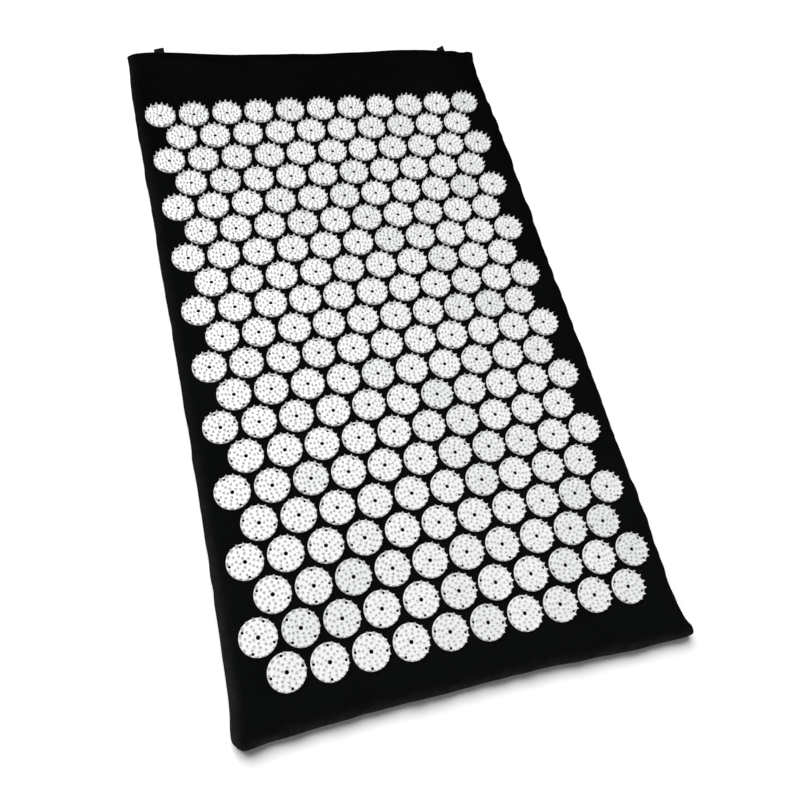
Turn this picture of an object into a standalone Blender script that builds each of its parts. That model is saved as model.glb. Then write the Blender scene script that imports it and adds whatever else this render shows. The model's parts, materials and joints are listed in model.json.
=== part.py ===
"""Spiked acupressure mat: a foam pad in a sewn cotton cover, with rows of spiked plastic discs on top."""

import math

import bmesh
import bpy
from mathutils import Matrix, Vector

# Every length is in metres. X runs across the mat, +Y to the end that opens, +Z up, and Z is 0 on the floor.

# Clearance between pieces that touch
seat = 0.0003

# Foam pad
pad_thickness = 0.018
pad_edge_bevel = 0.002

# Cotton cover
cover_width = 0.422
cover_length = 0.760
cloth = 0.001
roll_width = 0.012
seam_height_share = 0.45
side_draw_in = 0.0015
near_draw_in = 0.0045
roll_steps = 4
width_steps = 6
length_steps = 8

# Mouth of the cover, closed by hook-and-loop tape
flap_depth = 0.036
hem_depth = 0.018
slope_steps = 4
tape_thickness = 0.0012
tape_edge_margin = 0.001
tape_end_margin = 0.021

# Pull tabs of folded webbing, sewn to the flap's hem
tab_width = 0.0105
tab_length = 0.0095
tab_thickness = 0.0018
tab_inset = 0.0345
tab_nose_steps = 6

# Spiked discs
disc_radius = 0.016
disc_thickness = 0.0012
disc_pitch = 0.0356
row_pitch = 0.03172
disc_sides = 8
inner_corners = 4
inner_radius_share = 0.42
spike_height = 0.0043
link_width = 0.0024

# Lie of the disc field on the cover: clear bands from the cover's edges to the nearest disc centres
near_band = 0.0517
far_band = 0.105
side_band = 0.0325
field_shift_x = -0.0046
field_turn_degrees = 0.6

# Sizes that follow from the ones above
half_width = cover_width / 2
half_length = cover_length / 2
flat_half_width = half_width - roll_width
flat_near_y = -(half_length - roll_width)
pad_bottom = cloth + seat
pad_top = pad_bottom + pad_thickness
cover_top = pad_top + seat + cloth
seam_height = seam_height_share * cover_top
hinge_y = half_length - flap_depth
hem_y = half_length - hem_depth
hook_tape_bottom = cloth + seat
loop_tape_bottom = hook_tape_bottom + tape_thickness + seat
hem_underside = loop_tape_bottom + tape_thickness + seat
hem_top = hem_underside + cloth
hem_seam_height = hem_top / 2
disc_bottom = cover_top + seat
row_count = int((cover_length - near_band - far_band) / row_pitch) + 1
discs_in_long_row = int((cover_width - 2 * side_band) / disc_pitch) + 1
field_y = -half_length + near_band + (row_count - 1) / 2 * row_pitch


def make_material(name, colour, roughness, metallic=0.0):
    material = bpy.data.materials.new(name)
    material.use_nodes = True
    shader = material.node_tree.nodes["Principled BSDF"]
    shader.inputs["Base Color"].default_value = (*colour, 1.0)
    shader.inputs["Roughness"].default_value = roughness
    shader.inputs["Metallic"].default_value = metallic
    return material


def add_piece(name, shape, material, location=(0, 0, 0), parent=None):
    """Close a bmesh into a named object, placed under its parent if it has one."""
    bmesh.ops.recalc_face_normals(shape, faces=shape.faces)
    mesh = bpy.data.meshes.new(name)
    shape.to_mesh(mesh)
    shape.free()
    mesh.materials.append(material)
    piece = bpy.data.objects.new(name, mesh)
    piece.location = location
    piece.parent = parent
    bpy.context.collection.objects.link(piece)
    return piece


def add_empty(name, location, turn_degrees=0.0, parent=None):
    empty = bpy.data.objects.new(name, None)
    empty.location = location
    empty.rotation_euler.z = math.radians(turn_degrees)
    empty.parent = parent
    bpy.context.collection.objects.link(empty)
    return empty


def box_shape(low, high):
    shape = bmesh.new()
    bmesh.ops.create_cube(shape, size=1)
    size = Vector(high) - Vector(low)
    middle = (Vector(high) + Vector(low)) / 2
    bmesh.ops.scale(shape, vec=size, verts=shape.verts)
    bmesh.ops.translate(shape, vec=middle, verts=shape.verts)
    return shape


# Cover panels


def spaced(start, end, steps):
    """Evenly spaced values from start to end, both included."""
    return [start + (end - start) * step / steps for step in range(steps + 1)]


def roll_stations():
    """Shares of the rolled edge's width, closer together where it turns down."""
    return [math.sin(math.radians(90) * step / roll_steps) for step in range(roll_steps + 1)]


def across_stations():
    rolled = [flat_half_width + roll_width * share for share in roll_stations()]
    middle = spaced(-flat_half_width, flat_half_width, width_steps)
    return [-x for x in reversed(rolled[1:])] + middle + rolled[1:]


def near_stations():
    rolled = [flat_near_y - roll_width * share for share in roll_stations()]
    return list(reversed(rolled[1:])) + [flat_near_y]


def eased(share):
    return 0.5 - 0.5 * math.cos(math.pi * share)


def slope_share(y):
    """0 over the pad and 1 on the flat hem, easing between them beyond the hinge line."""
    return eased(min(max((y - hinge_y) / (hem_y - hinge_y), 0.0), 1.0))


def blend(over_pad, at_hem, y):
    return over_pad + (at_hem - over_pad) * slope_share(y)


def edge_shares(x, y):
    """How far a point lies through the side's roll and through the near end's roll, each from 0 to 1."""
    side = max((abs(x) - flat_half_width) / roll_width, 0.0)
    near = max((flat_near_y - y) / roll_width, 0.0)
    return side, near


def plan_point(x, y, width):
    """Place a station in plan: round corners, drawn-in sides, and a rolled edge of the given width."""
    side, near = edge_shares(x, y)
    if side > 0:
        x = math.copysign(flat_half_width + width * side * math.sqrt(1 - near * near / 2), x)
    if near > 0:
        y = flat_near_y - width * near * math.sqrt(1 - side * side / 2)
    side_draw = side_draw_in * (1 - (y / half_length) ** 2)
    near_draw = near_draw_in * (1 - (x / half_width) ** 2) * max(-y / half_length, 0.0)
    return x * (1 - side_draw / half_width), y * (1 - near_draw / half_length)


def roll_drop(x, y):
    """Share of the height lost on the rolled edge: a quarter ellipse, 0 on the flat and 1 at the seam."""
    through = min(max(edge_shares(x, y)), 1.0)
    return 1 - math.sqrt(1 - through * through)


def upper_point(x, y, inside):
    """A point on the top cloth, on its outer face or on the face towards the pad."""
    depth = cloth if inside else 0.0
    crown = blend(cover_top, hem_top, y) - depth
    seam = blend(seam_height, hem_seam_height, y) + seat / 2
    plan_x, plan_y = plan_point(x, y, roll_width - depth)
    return Vector((plan_x, plan_y, crown - (crown - seam) * roll_drop(x, y)))


def lower_point(x, y, inside):
    """A point on the bottom cloth, which lies flat on the floor and rises to the seam at its sides."""
    depth = cloth if inside else 0.0
    seam = blend(seam_height, hem_seam_height, y) - seat / 2
    plan_x, plan_y = plan_point(x, y, roll_width - depth)
    return Vector((plan_x, plan_y, depth + (seam - depth) * roll_drop(x, y)))


def panel_shape(rows, place):
    """A cloth panel of real thickness: a grid, thickened, with each station put in place."""
    columns = across_stations()
    shape = bmesh.new()
    bmesh.ops.create_grid(shape, x_segments=len(columns) - 1, y_segments=len(rows) - 1, size=1)
    thickened = bmesh.ops.extrude_face_region(shape, geom=shape.faces[:])
    inner = [item for item in thickened["geom"] if isinstance(item, bmesh.types.BMVert)]
    bmesh.ops.translate(shape, vec=Vector((0, 0, 1)), verts=inner)
    for vertex in shape.verts:
        column = round((vertex.co.x + 1) / 2 * (len(columns) - 1))
        row = round((vertex.co.y + 1) / 2 * (len(rows) - 1))
        vertex.co = place(columns[column], rows[row], vertex.co.z > 0.5)
    return shape


def add_cover(cotton):
    body_rows = near_stations() + spaced(flat_near_y, hinge_y - seat, length_steps)[1:]
    add_piece("cover_top", panel_shape(body_rows, upper_point), cotton)
    slope_rows = spaced(hinge_y, hem_y, slope_steps) + [half_length]
    base_rows = near_stations() + spaced(flat_near_y, hinge_y, length_steps)[1:] + slope_rows[1:]
    add_piece("cover_base", panel_shape(base_rows, lower_point), cotton)


# Mouth flap, its tapes and the pull tabs


def add_mouth(cotton, hook_nylon, loop_nylon, webbing):
    slope_rows = spaced(hinge_y, hem_y, slope_steps) + [half_length]
    hinge = add_empty("mouth_hinge", (0, hinge_y, cover_top))
    flap = panel_shape(slope_rows, upper_point)
    bmesh.ops.translate(flap, vec=-hinge.location, verts=flap.verts)
    add_piece("mouth_flap", flap, cotton, parent=hinge)

    tape_half = half_width - tape_end_margin
    tape_near = hem_y + tape_edge_margin
    tape_far = half_length - tape_edge_margin
    hook_low = (-tape_half, tape_near, hook_tape_bottom)
    hook_high = (tape_half, tape_far, hook_tape_bottom + tape_thickness)
    add_piece("hook_tape", box_shape(hook_low, hook_high), hook_nylon)
    loop_low = Vector((-tape_half, tape_near, loop_tape_bottom)) - hinge.location
    loop_high = Vector((tape_half, tape_far, loop_tape_bottom + tape_thickness)) - hinge.location
    add_piece("loop_tape", box_shape(loop_low, loop_high), loop_nylon, parent=hinge)

    for side, sign in (("left", -1), ("right", 1)):
        root = Vector((sign * (half_width - tab_inset), half_length + seat, hem_top))
        tab_hinge = add_empty("tab_hinge_" + side, root - hinge.location, parent=hinge)
        add_piece("pull_tab_" + side, tab_shape(), webbing, parent=tab_hinge)


def tab_shape():
    """Webbing folded double: flat at its sewn root, and round where it turns back on itself."""
    nose = tab_thickness / 2
    outline = [(0, 0), (0, -tab_thickness)]
    for step in range(tab_nose_steps + 1):
        turn = math.pi * step / tab_nose_steps
        outline.append((tab_length - nose + nose * math.sin(turn), -nose - nose * math.cos(turn)))
    shape = bmesh.new()
    profile = [shape.verts.new((-tab_width / 2, y, z)) for y, z in outline]
    face = shape.faces.new(profile)
    widened = bmesh.ops.extrude_face_region(shape, geom=[face])
    far_side = [item for item in widened["geom"] if isinstance(item, bmesh.types.BMVert)]
    bmesh.ops.translate(shape, vec=Vector((tab_width, 0, 0)), verts=far_side)
    return shape


# Foam pad


def add_pad(foam):
    half = flat_half_width - side_draw_in - seat
    near = flat_near_y + near_draw_in + seat
    shape = box_shape((-half, near, pad_bottom), (half, hinge_y - seat, pad_top))
    bmesh.ops.bevel(shape, geom=shape.edges[:], offset=pad_edge_bevel, segments=2, profile=0.5, affect="EDGES")
    add_piece("foam_pad", shape, foam)


# Spiked discs


def disc_corners():
    """Angles round a disc: a narrow side at each link, and even long sides between them."""
    half_link = math.asin(link_width / 2 / disc_radius)
    sides_per_half = disc_sides // 2
    step = (math.pi - 2 * half_link) / sides_per_half
    upper = [half_link + step * side for side in range(sides_per_half + 1)]
    return upper + [angle + math.pi for angle in upper]


def add_disc(shape, middle_x):
    """One disc at its place in a row: a flat plate crowded with pointed spikes. Returns its two link faces."""
    angles = disc_corners()
    rim = [(middle_x + disc_radius * math.cos(angle), disc_radius * math.sin(angle), 0) for angle in angles]
    plate = shape.faces.new([shape.verts.new(corner) for corner in rim])
    raised = bmesh.ops.extrude_face_region(shape, geom=[plate])["geom"]
    upper = [item for item in raised if isinstance(item, bmesh.types.BMVert)]
    bmesh.ops.translate(shape, vec=Vector((0, 0, disc_thickness)), verts=upper)
    top = next(item for item in raised if isinstance(item, bmesh.types.BMFace))
    walls = [face for face in {face for vertex in upper for face in vertex.link_faces} if face is not top]
    links = [wall for wall in walls if abs(wall.calc_center_median().y) < link_width / 4]
    raise_spikes(shape, top, Vector((middle_x, 0, disc_thickness)))
    return sorted(links, key=lambda wall: wall.calc_center_median().x)


def raise_spikes(shape, top, middle):
    """Split a disc's top into triangles round an inner figure, and draw each one up into a spike."""
    rim_edges = top.edges[:]
    bmesh.ops.delete(shape, geom=[top], context="FACES_ONLY")
    place = Matrix.Translation(middle) @ Matrix.Rotation(math.pi / inner_corners, 4, "Z")
    inner_radius = inner_radius_share * disc_radius
    inner = bmesh.ops.create_circle(shape, cap_ends=True, segments=inner_corners, radius=inner_radius, matrix=place)
    core = inner["verts"][0].link_faces[0]
    ring = bmesh.ops.bridge_loops(shape, edges=rim_edges + core.edges[:])["faces"]
    facets = bmesh.ops.triangulate(shape, faces=ring + [core])["faces"]
    inside = {edge for face in facets for edge in face.edges} - set(rim_edges)
    bmesh.ops.beautify_fill(shape, faces=facets, edges=list(inside))
    facets = {face for edge in rim_edges for face in edge.link_faces if face.normal.z > 0.5}
    facets |= {face for vertex in inner["verts"] for face in vertex.link_faces}
    spiked = [face for face in facets if min(edge.calc_length() for edge in face.edges) > link_width * 1.5]
    bmesh.ops.poke(shape, faces=spiked, offset=spike_height)


def row_shape(count):
    """A row of discs, each linked to the next at its base so that the row is one solid."""
    shape = bmesh.new()
    links = [add_disc(shape, (number - (count - 1) / 2) * disc_pitch) for number in range(count)]
    for left, right in zip(links, links[1:]):
        facing = [left[1], right[0]]
        edges = [edge for face in facing for edge in face.edges]
        bmesh.ops.delete(shape, geom=facing, context="FACES_ONLY")
        bmesh.ops.bridge_loops(shape, edges=edges)
    return shape


def add_disc_rows(plastic):
    field = add_empty("disc_field", (field_shift_x, field_y, disc_bottom), field_turn_degrees)
    for row in range(row_count):
        y = ((row_count - 1) / 2 - row) * row_pitch
        count = discs_in_long_row - row % 2
        add_piece("disc_row_%02d" % (row + 1), row_shape(count), plastic, location=(0, y, 0), parent=field)


def main():
    for item in list(bpy.data.objects):
        bpy.data.objects.remove(item, do_unlink=True)
    cotton = make_material("black_cotton", (0.006, 0.006, 0.0065), 0.9)
    foam = make_material("polyurethane_foam", (0.80, 0.77, 0.66), 0.95)
    plastic = make_material("white_polystyrene", (0.86, 0.87, 0.87), 0.35)
    hook_nylon = make_material("hook_nylon", (0.02, 0.02, 0.022), 0.6)
    loop_nylon = make_material("loop_nylon", (0.015, 0.015, 0.016), 0.95)
    webbing = make_material("black_webbing", (0.014, 0.014, 0.015), 0.8)
    add_pad(foam)
    add_cover(cotton)
    add_mouth(cotton, hook_nylon, loop_nylon, webbing)
    add_disc_rows(plastic)


main()
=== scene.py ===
import json
import math
import random

import bmesh
import bpy
from mathutils import Matrix, Vector, noise
from mathutils.bvhtree import BVHTree


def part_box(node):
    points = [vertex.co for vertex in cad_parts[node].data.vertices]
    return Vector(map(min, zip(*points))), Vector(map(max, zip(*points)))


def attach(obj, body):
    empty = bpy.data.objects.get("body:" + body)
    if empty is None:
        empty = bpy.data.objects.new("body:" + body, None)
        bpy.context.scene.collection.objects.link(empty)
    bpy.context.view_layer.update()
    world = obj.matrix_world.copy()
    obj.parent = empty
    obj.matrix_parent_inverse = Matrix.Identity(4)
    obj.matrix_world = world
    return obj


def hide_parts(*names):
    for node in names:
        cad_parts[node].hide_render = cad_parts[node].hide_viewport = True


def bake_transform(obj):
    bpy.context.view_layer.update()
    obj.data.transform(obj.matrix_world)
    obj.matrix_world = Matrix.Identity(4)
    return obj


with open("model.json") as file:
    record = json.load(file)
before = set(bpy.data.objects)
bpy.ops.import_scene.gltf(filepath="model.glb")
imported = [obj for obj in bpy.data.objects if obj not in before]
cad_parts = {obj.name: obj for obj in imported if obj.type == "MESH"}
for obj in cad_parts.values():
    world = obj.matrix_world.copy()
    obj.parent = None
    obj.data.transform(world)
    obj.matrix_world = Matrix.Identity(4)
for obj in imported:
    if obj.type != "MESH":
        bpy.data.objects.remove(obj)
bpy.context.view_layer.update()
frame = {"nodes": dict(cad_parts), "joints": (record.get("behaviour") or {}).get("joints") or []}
print("frame loaded:", len(frame["nodes"]), "nodes")

scene = bpy.context.scene
scene.view_settings.view_transform = "Standard"

# Everything is in metres: X across the mat, +Y to the end that opens, +Z up from the floor


def linked(name, data):
    # A new object in the scene
    item = bpy.data.objects.new(name, data)
    scene.collection.objects.link(item)
    return item


# Camera

lens = {
    "place": (-0.22098, -0.39574, 0.69254),
    "turn": (25.962, -11.389, -14.437),      # degrees
    "focal": 34.95,
    "sensor": 36.0,
    "nearest": 0.05,
    "furthest": 50.0,
}


def addCamera():
    data = bpy.data.cameras.new("camera")
    data.lens = lens["focal"]
    data.sensor_width = lens["sensor"]
    data.clip_start = lens["nearest"]
    data.clip_end = lens["furthest"]
    camera = linked("camera", data)
    camera.location = lens["place"]
    camera.rotation_euler = [math.radians(angle) for angle in lens["turn"]]
    scene.camera = camera


addCamera()


# Materials

class Wire:
    # One output of a node. Sums, products and comparisons on it add Math nodes
    def __init__(self, finish, node, socket):
        self.finish = finish
        self.node = node
        self.socket = socket

    def also(self, name):
        return Wire(self.finish, self.node, self.node.outputs[name])

    def maths(self, operation, *others):
        values = dict(enumerate((self, *others)))
        return self.finish.add("ShaderNodeMath", {"operation": operation}, values)

    def __add__(self, other):
        return self.maths("ADD", other)

    def __sub__(self, other):
        return self.maths("SUBTRACT", other)

    def __rsub__(self, other):
        return self.finish.add("ShaderNodeMath", {"operation": "SUBTRACT"}, {0: other, 1: self})

    def __mul__(self, other):
        return self.maths("MULTIPLY", other)

    def __truediv__(self, other):
        return self.maths("DIVIDE", other)

    def __pow__(self, other):
        return self.maths("POWER", other)

    def __gt__(self, other):
        return self.maths("GREATER_THAN", other)

    def __lt__(self, other):
        return self.maths("LESS_THAN", other)

    def size(self):
        return self.maths("ABSOLUTE")

    def sine(self):
        return self.maths("SINE")

    def cosine(self):
        return self.maths("COSINE")

    def kept(self):
        return self.finish.add("ShaderNodeClamp", {}, {0: self})


class Finish:
    # A material with one Principled shader, and the nodes that feed it
    def __init__(self, name, roughness, gloss, **fixed):
        self.material = bpy.data.materials.new(name)
        self.material.use_nodes = True
        self.tree = self.material.node_tree
        self.shader = self.tree.nodes["Principled BSDF"]
        fixed.update(Roughness=roughness, Specular_IOR_Level=gloss)
        for socket, value in fixed.items():
            self.shader.inputs[socket.replace("_", " ")].default_value = value

    def add(self, kind, settings=None, values=None, out=0):
        node = self.tree.nodes.new(kind)
        for name, value in (settings or {}).items():
            setattr(node, name, value)
        for name, value in (values or {}).items():
            self.feed(node.inputs[name], value)
        return Wire(self, node, node.outputs[out])

    def feed(self, socket, value):
        if isinstance(value, Wire):
            self.tree.links.new(value.socket, socket)
        else:
            socket.default_value = value

    def drive(self, socket, wire):
        self.feed(self.shader.inputs[socket], wire)

    def mix(self, factor, first, second, blend="MIX"):
        settings = {"data_type": "RGBA", "blend_type": blend}
        return self.add("ShaderNodeMix", settings, {0: factor, 6: first, 7: second}, out=2)

    def point(self):
        return self.add("ShaderNodeTexCoord", out="Object")

    def cut(self):
        return self.add("ShaderNodeUVMap", {"uv_map": "cut"})

    def mark(self, name):
        return self.add("ShaderNodeAttribute", {"attribute_name": name}, out="Fac")

    def split(self, vector):
        x = self.add("ShaderNodeSeparateXYZ", {}, {0: vector})
        return x, x.also("Y"), x.also("Z")

    def cloudy(self, vector, scale, detail=3.0, roughness=0.5):
        values = {"Vector": vector, "Scale": scale, "Detail": detail, "Roughness": roughness}
        return self.add("ShaderNodeTexNoise", {}, values, out="Fac")

    def cells(self, vector, scale, feature="F1"):
        values = {"Vector": vector, "Scale": scale}
        return self.add("ShaderNodeTexVoronoi", {"feature": feature}, values, out="Distance")

    def raised(self, height, depth, strength=1.0, under=None):
        values = {"Height": height, "Distance": depth, "Strength": strength}
        if under is not None:
            values["Normal"] = under
        return self.add("ShaderNodeBump", {}, values)


def grey(level):
    return (level, level, level, 1.0)


cottonLook = {
    "deep": (0.0018, 0.0021, 0.0020, 1.0),
    "faded": (0.0040, 0.0047, 0.0044, 1.0),
    # painted sheen: the lighter colour the rolled edges take where they catch the light
    "sheenColour": (0.030, 0.029, 0.031, 1.0),
    "lint": (0.016, 0.016, 0.016, 1.0),
    "threadPitch": 0.0007,
    "threadDepth": 0.00016,
    "threadStrength": 0.8,
    "gapShade": 0.55,            # how light the gaps between the threads stay
    "fadeScale": 11.0,
    "fadeSpread": 1.6,
    "fadeLevel": 0.55,
    "lighterTowardsNear": 1.2,            # how fast the cloth turns lighter towards the near end
    "mottleScale": 160.0,
    "sheenFrom": 0.34,
    "sheenSpread": 3.2,
    "sheenLeast": 0.4,
    "lintScale": 260.0,
    "lintReach": 0.085,
    "lintPatchScale": 34.0,
    "lintPatchFrom": 0.62,
    "unevenScale": 45.0,
    "unevenDepth": 0.0004,
    "unevenStrength": 0.6,
    "roughness": 0.92,
    "gloss": 0.0,
}


def weave(finish, pitch):
    # Height of a plain weave: warp and weft threads that pass over each other in turn
    x, y, _ = finish.split(finish.cut())
    warp = (x * (math.pi / pitch)).cosine()
    weft = (y * (math.pi / pitch)).cosine()
    over = warp * weft * 0.5 + 0.5
    return warp.size() * over + weft.size() * (1 - over)


def makeCotton():
    look = cottonLook
    finish = Finish("blackCotton", look["roughness"], look["gloss"])
    threads = weave(finish, look["threadPitch"])
    point = finish.point()
    faded = finish.cloudy(point, look["fadeScale"], detail=4.0)
    mottle = finish.cloudy(point, look["mottleScale"], detail=5.0, roughness=0.7)
    _, along, _ = finish.split(point)
    # The cloth's random fading, and lighter towards the near end
    clothLightness = (faded - 0.5) * look["fadeSpread"] + look["fadeLevel"] - along * look["lighterTowardsNear"]
    colour = finish.mix(clothLightness.kept(), look["deep"], look["faded"])
    # Painted sheen on the rolled edges, lighter where they catch the light, broken into mottled patches
    patchy = ((mottle - look["sheenFrom"]) * look["sheenSpread"]).kept()
    rollSheen = finish.mark("rollSheen") * (patchy * (1 - look["sheenLeast"]) + look["sheenLeast"])
    colour = finish.mix(rollSheen, colour, look["sheenColour"])
    patches = finish.cloudy(point, look["lintPatchScale"], detail=2.0) > look["lintPatchFrom"]
    lint = (finish.cells(point, look["lintScale"]) < look["lintReach"]) * patches
    colour = finish.mix(lint, colour, look["lint"])
    gap = look["gapShade"]
    shade = finish.mix((threads * (1 - gap) + gap).kept(), grey(gap), grey(1.0))
    finish.drive("Base Color", finish.mix(1.0, colour, shade, "MULTIPLY"))
    swells = finish.cloudy(point, look["unevenScale"], detail=4.0)
    uneven = finish.raised(swells, look["unevenDepth"], look["unevenStrength"])
    finish.drive("Normal", finish.raised(threads, look["threadDepth"], look["threadStrength"], uneven))
    return finish.material


plasticLook = {
    # the greyer end, which paints a few discs in shade, and the brighter end
    "cool": (0.665, 0.675, 0.678, 1.0),
    "bright": (0.755, 0.76, 0.76, 1.0),
    "soaking": 0.35,             # share of the light that spreads inside before it comes out
    "soakReach": 0.0014,
    "refraction": 1.55,
    "roughness": 0.34,
    "roughnessSpread": 0.12,
    "gloss": 0.5,
    "toneShare": 0.75,           # how much of the tone is each disc's own
    "flowScale": 210.0,
    "grainScale": 1600.0,
    "grainDepth": 0.00002,
    "grainStrength": 0.35,
}


def makePlastic():
    look = plasticLook
    finish = Finish("whitePolystyrene", look["roughness"], look["gloss"], IOR=look["refraction"],
                    Subsurface_Weight=look["soaking"], Subsurface_Scale=look["soakReach"],
                    Subsurface_Radius=(1.0, 1.0, 1.0))
    point = finish.point()
    flow = finish.cloudy(point, look["flowScale"], detail=2.0)
    # Each disc's tone: the plastic's own random tone, with a few discs painted greyer as painted shade of discs
    # tilted out of the light
    tone = (finish.mark("tone") * look["toneShare"] + flow * (1 - look["toneShare"])).kept()
    finish.drive("Base Color", finish.mix(tone, look["cool"], look["bright"]))
    spread = look["roughnessSpread"]
    finish.drive("Roughness", flow * spread + (look["roughness"] - spread / 2))
    grain = finish.cloudy(point, look["grainScale"])
    finish.drive("Normal", finish.raised(grain, look["grainDepth"], look["grainStrength"]))
    return finish.material


foamLook = {
    "pale": (0.83, 0.79, 0.67, 1.0),
    # painted shade in the pores
    "poreShade": (0.52, 0.47, 0.36, 1.0),
    "poreScale": 900.0,
    "largePoreScale": 330.0,
    "fineShare": 0.6,
    "largeShare": 0.7,
    "poreContrast": 1.5,
    "poreDepth": 0.0005,
    "poreStrength": 0.9,
    "yellowingScale": 18.0,
    "yellowingSpread": 0.3,
    "roughness": 0.95,
    "gloss": 0.1,
}


def makeFoam():
    look = foamLook
    finish = Finish("openCellFoam", look["roughness"], look["gloss"])
    point = finish.point()
    fine = finish.cells(point, look["poreScale"])
    large = finish.cells(point, look["largePoreScale"])
    pores = (fine * look["fineShare"] + large * look["largeShare"]).kept()
    yellowing = finish.cloudy(point, look["yellowingScale"])
    spread = look["yellowingSpread"]
    # Painted shade darker in the pores, and the foam's own yellowing across it
    paleness = (pores * look["poreContrast"] + yellowing * spread - spread / 2).kept()
    finish.drive("Base Color", finish.mix(paleness, look["poreShade"], look["pale"]))
    finish.drive("Normal", finish.raised(pores, look["poreDepth"], look["poreStrength"]))
    return finish.material


nylonLook = {
    "mottleFrom": 0.3,
    "mottleSpread": 2.2,
    "fuzzFineness": 3,           # how many times finer than the mottle the fuzz is
    "fuzzDepth": 0.0002,
    "fuzzStrength": 0.6,
    "gloss": 0.3,
    "sheen": 0.1,
}


def makeNylon(name, dark, light, roughness, scale):
    look = nylonLook
    finish = Finish(name, roughness, look["gloss"], Sheen_Weight=look["sheen"])
    point = finish.point()
    mottle = finish.cloudy(point, scale, detail=4.0, roughness=0.65)
    lightness = ((mottle - look["mottleFrom"]) * look["mottleSpread"]).kept()
    finish.drive("Base Color", finish.mix(lightness, grey(dark), grey(light)))
    fuzz = finish.cloudy(point, scale * look["fuzzFineness"], detail=2.0)
    finish.drive("Normal", finish.raised(fuzz, look["fuzzDepth"], look["fuzzStrength"]))
    return finish.material


webbingLook = {
    # painted shade in the grooves between the ribs, painted light on the rib tops
    "deep": (0.0012, 0.0013, 0.0013, 1.0),
    "ridge": (0.0036, 0.0038, 0.0038, 1.0),
    "ribPitch": 0.0009,
    "ribDepth": 0.0003,
    "ribStrength": 0.9,
    "ribShare": 0.7,
    "yarnPitch": 0.00054,
    "roughness": 0.85,
    "gloss": 0.04,
}


def makeWebbing():
    look = webbingLook
    finish = Finish("ribbedWebbing", look["roughness"], look["gloss"])
    x, y, _ = finish.split(finish.cut())
    ribs = (y * (math.pi / look["ribPitch"])).sine().size()
    yarns = (x * (math.pi / look["yarnPitch"])).sine().size()
    height = (ribs * look["ribShare"] + yarns * (1 - look["ribShare"])).kept()
    # Painted shade in the grooves and painted light on the rib tops, from the same height as the bump
    finish.drive("Base Color", finish.mix(height, look["deep"], look["ridge"]))
    finish.drive("Normal", finish.raised(height, look["ribDepth"], look["ribStrength"]))
    return finish.material


threadLook = {
    "twistPitch": 0.0007,
    "twistDepth": 0.0001,
    "twistStrength": 0.7,
    # painted shade in the grooves of the twist, painted light on the strands
    "deep": 0.0018,
    "ridge": 0.0045,
    "roughness": 0.7,
    "gloss": 0.06,
}


def makeThread():
    look = threadLook
    finish = Finish("sewingThread", look["roughness"], look["gloss"])
    x, y, z = finish.split(finish.point())
    strands = ((x + y + z) * (2 * math.pi / look["twistPitch"])).sine() * 0.5 + 0.5
    # Painted shade in the twist's grooves and painted light on the strands, from the same height as the bump
    finish.drive("Base Color", finish.mix(strands, grey(look["deep"]), grey(look["ridge"])))
    finish.drive("Normal", finish.raised(strands, look["twistDepth"], look["twistStrength"]))
    return finish.material


cotton = makeCotton()
plastic = makePlastic()
foam = makeFoam()
hookNylon = makeNylon("hookNylon", dark=0.006, light=0.016, roughness=0.45, scale=700.0)
loopNylon = makeNylon("loopNylon", dark=0.004, light=0.014, roughness=0.9, scale=500.0)
webbing = makeWebbing()
thread = makeThread()
print("materials made")


# Shared mesh steps

weld = {"rods": 0.000001, "spike": 0.00001, "disc": 0.000005}          # points closer than this become one


def meshOf(name, shape):
    # A mesh with what a bmesh holds, which is freed
    mesh = bpy.data.meshes.new(name)
    shape.to_mesh(mesh)
    shape.free()
    return mesh


def shapeOf(mesh):
    shape = bmesh.new()
    shape.from_mesh(mesh)
    return shape


def addPiece(name, shape, material, body=None):
    mesh = meshOf(name, shape)
    mesh.materials.append(material)
    piece = linked(name, mesh)
    if body:
        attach(piece, body)
    return piece


def evaluatedMesh(item):
    # A mesh of what an object's modifiers, or its bevel as a curve, make of it
    bpy.context.view_layer.update()
    evaluated = item.evaluated_get(bpy.context.evaluated_depsgraph_get())
    return bpy.data.meshes.new_from_object(evaluated)


def applyModifiers(piece):
    mesh = evaluatedMesh(piece)
    piece.modifiers.clear()
    old = piece.data
    piece.data = mesh
    bpy.data.meshes.remove(old)
    mesh.name = piece.name


def thicken(piece, thickness, offset):
    # Give a sheet its thickness and round it off
    wall = piece.modifiers.new("thickness", "SOLIDIFY")
    wall.thickness = thickness
    wall.offset = offset
    wall.use_even_offset = False
    rounding = piece.modifiers.new("rounding", "SUBSURF")
    rounding.levels = 1
    rounding.render_levels = 1
    applyModifiers(piece)
    piece.data.shade_smooth()


def roundEdges(shape, edges, reach, segments):
    bmesh.ops.bevel(shape, geom=edges, offset=reach, segments=segments, profile=0.5, affect="EDGES",
                    material=-1)


def boxShape(low, high, edgeRound, segments):
    # A box between two corners, with rounded edges
    shape = bmesh.new()
    bmesh.ops.create_cube(shape, size=1)
    bmesh.ops.scale(shape, vec=high - low, verts=shape.verts)
    bmesh.ops.translate(shape, vec=(low + high) / 2, verts=shape.verts)
    roundEdges(shape, shape.edges[:], edgeRound, segments)
    return shape


def cutAcross(shape, normal, places):
    # Edges across a shape, so that it can bend or turn uneven
    for place in places:
        geom = shape.verts[:] + shape.edges[:] + shape.faces[:]
        bmesh.ops.bisect_plane(shape, geom=geom, plane_co=normal * place, plane_no=normal)


def spaced(start, end, steps):
    return [start + (end - start) * step / steps for step in range(steps + 1)]


def smoothed(share):
    share = min(max(share, 0.0), 1.0)
    return share * share * (3 - 2 * share)


def bump(value, middle, reach):
    # 1 at the middle, easing to 0 a reach away
    return smoothed(1 - abs(value - middle) / reach)


rippling = {"seedSteps": (7.31, 3.17), "size": 1.6}


def ripple(place, wave, seed):
    # A smooth wander between about -1 and 1 along a line
    first, second = rippling["seedSteps"]
    return noise.noise(Vector((place / wave, seed * first, seed * second))) * rippling["size"]


# Cover: where the two cloths lie

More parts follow.
